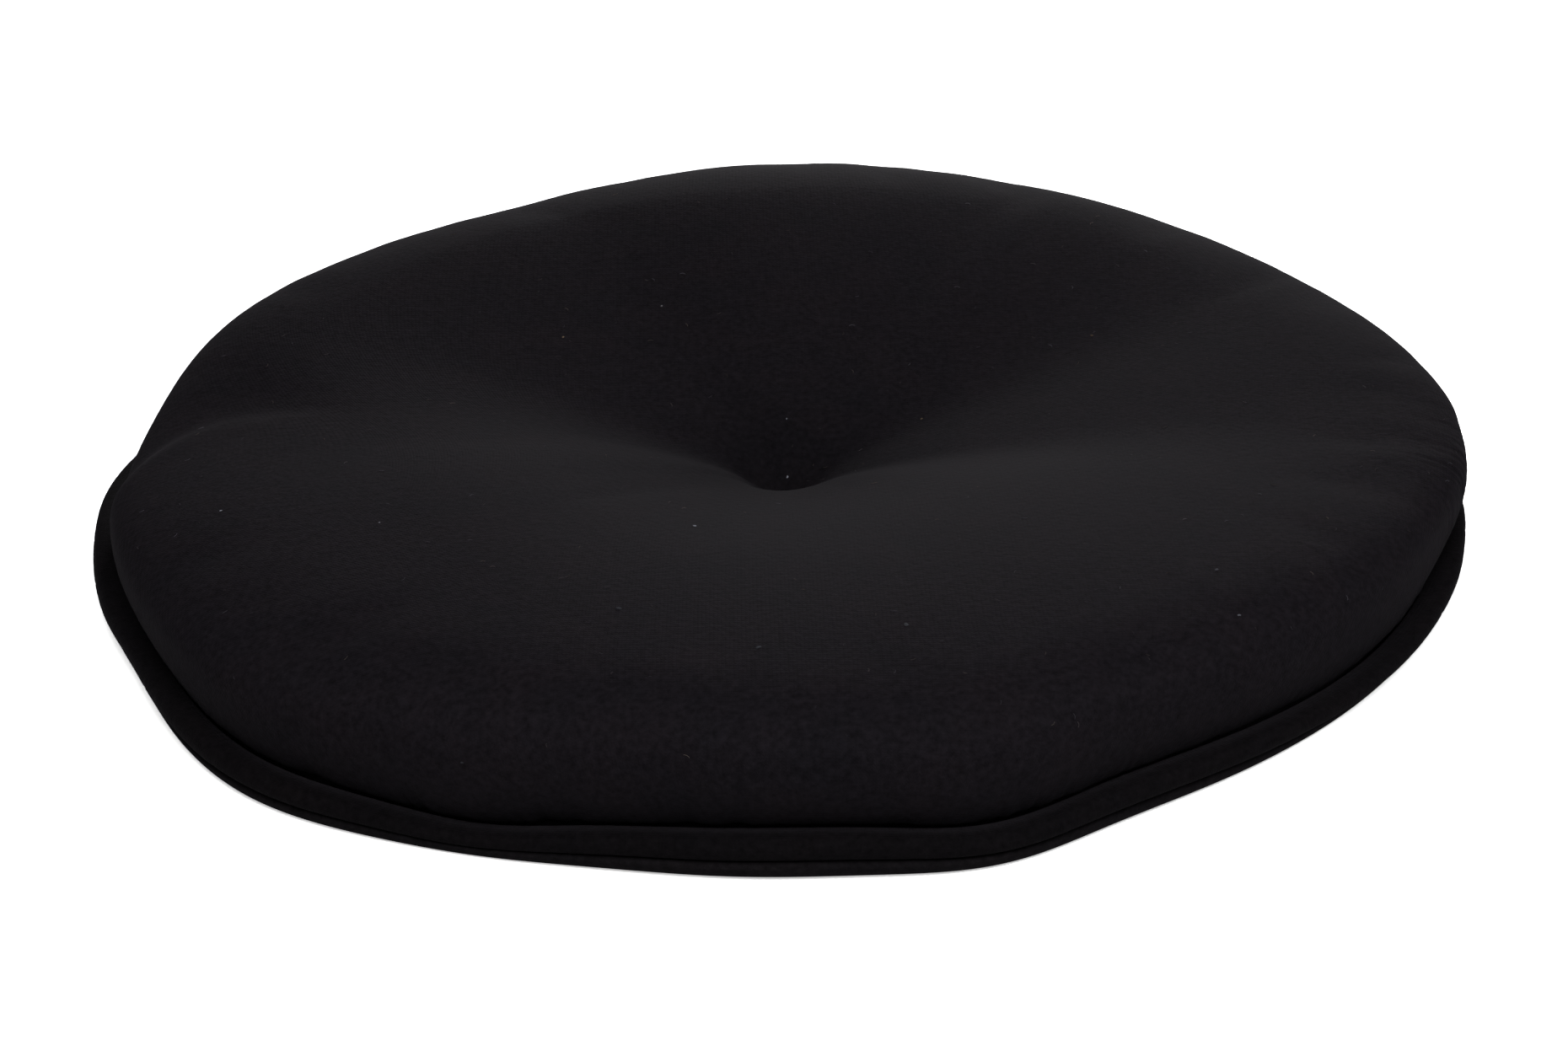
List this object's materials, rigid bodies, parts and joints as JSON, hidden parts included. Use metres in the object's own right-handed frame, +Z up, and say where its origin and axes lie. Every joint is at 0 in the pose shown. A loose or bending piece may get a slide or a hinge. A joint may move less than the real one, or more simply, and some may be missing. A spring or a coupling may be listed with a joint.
{
  "type": "round seat cushion",
  "caption": "Low round seat cushion in black stretch knit, dished to a central dimple, with a thin welt in its rim seam and a flat bottom panel.",
  "frame": {"origin": "on the surface the cushion lies on, under the middle of its box; the dimple is 1.8 mm to the right and 4.5 mm to the front of it", "axes": "+Z up through the seat, -Y towards the front that the picture shows, +X to the right"},
  "size_m": [0.4043, 0.391, 0.0513],
  "materials": {
    "top_knit": "fine black stretch knit with a soft matte nap",
    "welt_knit": "the same black knit, cut on the bias and stretched round the welt",
    "bottom_knit": "black knit, a little plainer and less napped"
  },
  "bodies": {
    "root": {"seat_pad": "top_knit", "edge_welt": "welt_knit", "bottom_panel": "bottom_knit"}
  },
  "joints": []
}
